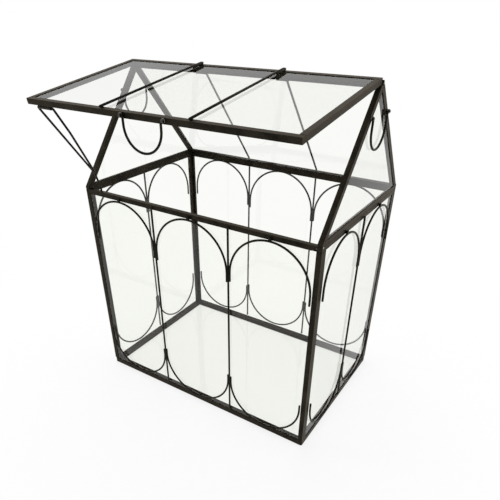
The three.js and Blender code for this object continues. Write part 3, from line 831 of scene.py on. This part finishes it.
def make_handles():
    for name, (radius, leg), across in (
        ("lid_handle", LID_BAIL, ALONG_X),
        ("gable_handle_left", GABLE_BAIL, ALONG_Y),
        ("gable_handle_right", GABLE_BAIL, ALONG_Y),
    ):
        bail = bmesh.new()
        path = bail_path(joint_places[f"{name}_swing"], across, radius, leg)
        add_wire(bail, path, sides=HANDLE_WIRE_SIDES)
        finish_piece(f"{name}_wire", bail, name, BLACK_WIRE, [name])

    lid_reach, gable_reach = (
        bail[0] + WIRE + FIT + LUG_LENGTH / 2 for bail in (LID_BAIL, GABLE_BAIL)
    )
    lid_pivot = LID_PLACE.inverted() @ joint_places["lid_handle_swing"]
    for name, side in ENDS:
        centre = lid_pivot + Vector((side * lid_reach, 0, 0))
        make_lug(f"lid_handle_lug_{name}", "lid", centre, ALONG_X, -ALONG_Y, LID_PLACE)
        gable_pivot = joint_places[f"gable_handle_{name}_swing"]
        for end, along in (("front", -1), ("back", 1)):
            centre = gable_pivot + Vector((0, along * gable_reach, 0))
            node = f"gable_handle_lug_{name}_{end}"
            make_lug(node, "frame", centre, ALONG_Y, ALONG_X * side)


# Prop
def make_prop():
    """One wire bent square at the lid, its two legs closing to one foot on the eave."""
    pivot = joint_places["prop_fold"]

    def from_pivot(x, y, z):
        return Vector((x, y - pivot.y, z - pivot.z))

    meet_x, meet_y, meet_z = PROP_MEET
    meet = from_pivot(meet_x, meet_y, meet_z)
    outer_meet = from_pivot(meet_x - PROP_LEG_OVERLAP, meet_y, meet_z)
    inner_meet = from_pivot(meet_x + PROP_LEG_OVERLAP, meet_y, meet_z)
    foot = from_pivot(0, PROP_FOOT_Y, FRONT_EAVE_TOP + PROP_FOOT_RISE)
    tip = from_pivot(0, PROP_FOOT_Y, FRONT_EAVE_TOP + PROP_TIP_GAP)
    inner = Vector((PROP_HALF_SPREAD, 0, 0))
    bow = inner.lerp(inner_meet, PROP_BOW_SHARE)
    bow.x = PROP_HALF_SPREAD + PROP_BOW
    top = rounded_path([outer_meet, -inner, inner, bow], PROP_BEND)
    inner_leg = rounded_path([top[-2], bow, inner_meet], PROP_BOW_BEND, PROP_BOW_STEPS)
    merge = meet - meet.normalized() * PROP_MERGE
    stem = rounded_path([merge, meet, foot, tip], PROP_BEND)
    prop = bmesh.new()
    for path in ([*top[:-2], *inner_leg], stem):
        add_wire(prop, [pivot + place for place in path], sides=HANDLE_WIRE_SIDES)
    joined = merge.lerp(meet, PROP_BEAD_SHARE) + pivot
    lean = UP.rotation_difference(meet.normalized()).to_matrix().to_4x4()
    add_bead(prop, joined, PROP_BEAD, PROP_SEED, lean)
    finish_piece("prop_wire", prop, "prop", BLACK_WIRE, ["prop"])


# Solder on the frame and the lid
def solder_case():
    beads = bmesh.new()
    corner_x, corner_y = HALF_WIDTH - CORNER_INSET[0], HALF_DEPTH - CORNER_INSET[1]
    for _, side in ENDS:
        for along in (-1, 1):
            for height, half_sizes, seed in CORNER_BEADS:
                corner = Vector((side * corner_x, along * corner_y, height))
                add_bead(beads, corner, half_sizes, side + 2 * along + seed)
        for inset, y, height, half_sizes, seed in END_BEADS:
            place = Vector((side * (HALF_WIDTH - inset), y, height))
            add_bead(beads, place, half_sizes, side * seed)
    place, half_sizes, seed = LARGE_DROP
    add_bead(beads, Vector(place), half_sizes, seed)
    finish_piece("solder_corners", beads, "frame", SOLDER)

    beads = bmesh.new()
    for place, half_sizes, seed in PALE_SPOTS:
        add_bead(beads, Vector(place), half_sizes, seed)
    finish_piece("pale_spots", beads, "frame", BRIGHT_SOLDER)


def solder_lid():
    beads = bmesh.new()
    for _, side in ENDS:
        mitre_x = side * (LID_HALF_WIDTH - LID_BAR / 2)
        for y in (LID_FRONT + LID_BAR, LID_BACK - LID_BAR):
            for z, seed in ((LID_TOP - MITRE_BEAD_SINK, 1), (LID_UNDERSIDE + MITRE_BEAD_SINK, 2)):
                mitre = LID_PLACE @ Vector((mitre_x, y, z))
                add_bead(beads, mitre, MITRE_BEAD, seed + side + y * MITRE_SEEDS, LID_TURN)
        inner_x = side * (LID_HALF_WIDTH - LID_BAR)
        inner = Vector((inner_x, LID_FRONT + LID_BAR, (LID_UNDERSIDE + LID_TOP) / 2))
        add_bead(beads, LID_PLACE @ inner, INNER_CORNER_BEAD, side, LID_TURN)
    for shift in (-TUBE_BEAD_SHIFT, TUBE_BEAD_SHIFT):
        seat = Vector((TUBE_X + shift, LID_FRONT + TUBE_BEAD_BACK, LID_UNDERSIDE - TUBE_BEAD_DROP))
        add_bead(beads, LID_PLACE @ seat, TUBE_BEAD, shift * TUBE_SEEDS, LID_TURN)
    finish_piece("solder_lid", beads, "lid", SOLDER)


# Floor, light and camera
def seen_directly(tree):
    """One where the camera, a mirror or a pane sees the surface, zero for the light it gives."""
    path = tree.nodes.new("ShaderNodeLightPath")
    seen = path.outputs["Is Camera Ray"]
    for ray in ("Is Glossy Ray", "Is Transmission Ray"):
        seen = calculate(tree, "MAXIMUM", seen, path.outputs[ray])
    return seen


def make_floor():
    """White floor that keeps some of the object's shadow and turns plain white farther out."""
    material, tree, surface = bare_material("white_floor")
    paint = tree.nodes.new("ShaderNodeBsdfDiffuse")
    paint.inputs["Color"].default_value = (FLOOR_GREY, FLOOR_GREY, FLOOR_GREY, 1)
    white = tree.nodes.new("ShaderNodeEmission")
    white.inputs["Strength"].default_value = BACKDROP_WHITE
    place = tree.nodes.new("ShaderNodeTexCoord")
    distance = tree.nodes.new("ShaderNodeVectorMath")
    distance.operation = "LENGTH"
    tree.links.new(place.outputs["Object"], distance.inputs[0])
    fade = ramp(tree, distance.outputs["Value"], FLOOR_FADE)
    share = calculate(tree, "MULTIPLY", seen_directly(tree), fade)
    both = mix_shaders(tree, share, paint.outputs["BSDF"], white.outputs["Emission"])
    tree.links.new(both, surface)

    ground = bmesh.new()
    bmesh.ops.create_grid(ground, x_segments=1, y_segments=1, size=FLOOR_HALF_SIZE)
    bmesh.ops.translate(ground, vec=(0, 0, -FLOOR_DROP), verts=ground.verts)
    mesh = bpy.data.meshes.new("studio_floor")
    ground.to_mesh(mesh)
    ground.free()
    mesh.materials.append(material)
    floor = add_object("studio_floor", mesh)


def make_light():
    """Plain room light, a white backdrop for the eye and three soft lamps."""
    world = bpy.data.worlds.new("studio")
    bpy.context.scene.world = world
    world.use_nodes = True
    tree = world.node_tree
    room = tree.nodes["Background"]
    backdrop = tree.nodes.new("ShaderNodeBackground")
    for light, strength in ((room, ROOM_LIGHT), (backdrop, BACKDROP_WHITE)):
        light.inputs["Color"].default_value = WHITE
        light.inputs["Strength"].default_value = strength
    both = mix_shaders(
        tree, seen_directly(tree), room.outputs["Background"], backdrop.outputs["Background"]
    )
    tree.links.new(both, tree.nodes["World Output"].inputs["Surface"])
    for name, place, size, watts in LAMPS:
        lamp = bpy.data.lights.new(name, "AREA")
        lamp.size = size
        lamp.energy = watts
        thing = add_object(name, lamp)
        thing.location = place
        thing.rotation_mode = "QUATERNION"
        thing.rotation_quaternion = (LAMPS_AIM - Vector(place)).to_track_quat("-Z", "Y")
        thing.visible_glossy = False


def make_camera():
    camera = bpy.data.cameras.new("camera")
    camera.sensor_width = FILM_WIDTH
    camera.lens = FOCAL_LENGTH * FILM_WIDTH / PICTURE
    camera.shift_x = (PICTURE / 2 - OPTICAL_CENTRE[0]) / PICTURE
    camera.shift_y = (OPTICAL_CENTRE[1] - PICTURE / 2) / PICTURE
    thing = add_object("camera", camera)
    thing.location = CAMERA_PLACE
    thing.rotation_mode = "QUATERNION"
    thing.rotation_quaternion = Vector(CAMERA_FORWARD).to_track_quat("-Z", "Y")
    bpy.context.scene.camera = thing


dress_bars_and_panes()
for wall in WALLS:
    make_wirework(wall)
make_rods()
make_handles()
make_prop()
solder_case()
solder_lid()
make_floor()
make_light()
make_camera()
bpy.context.scene.view_settings.view_transform = "Standard"
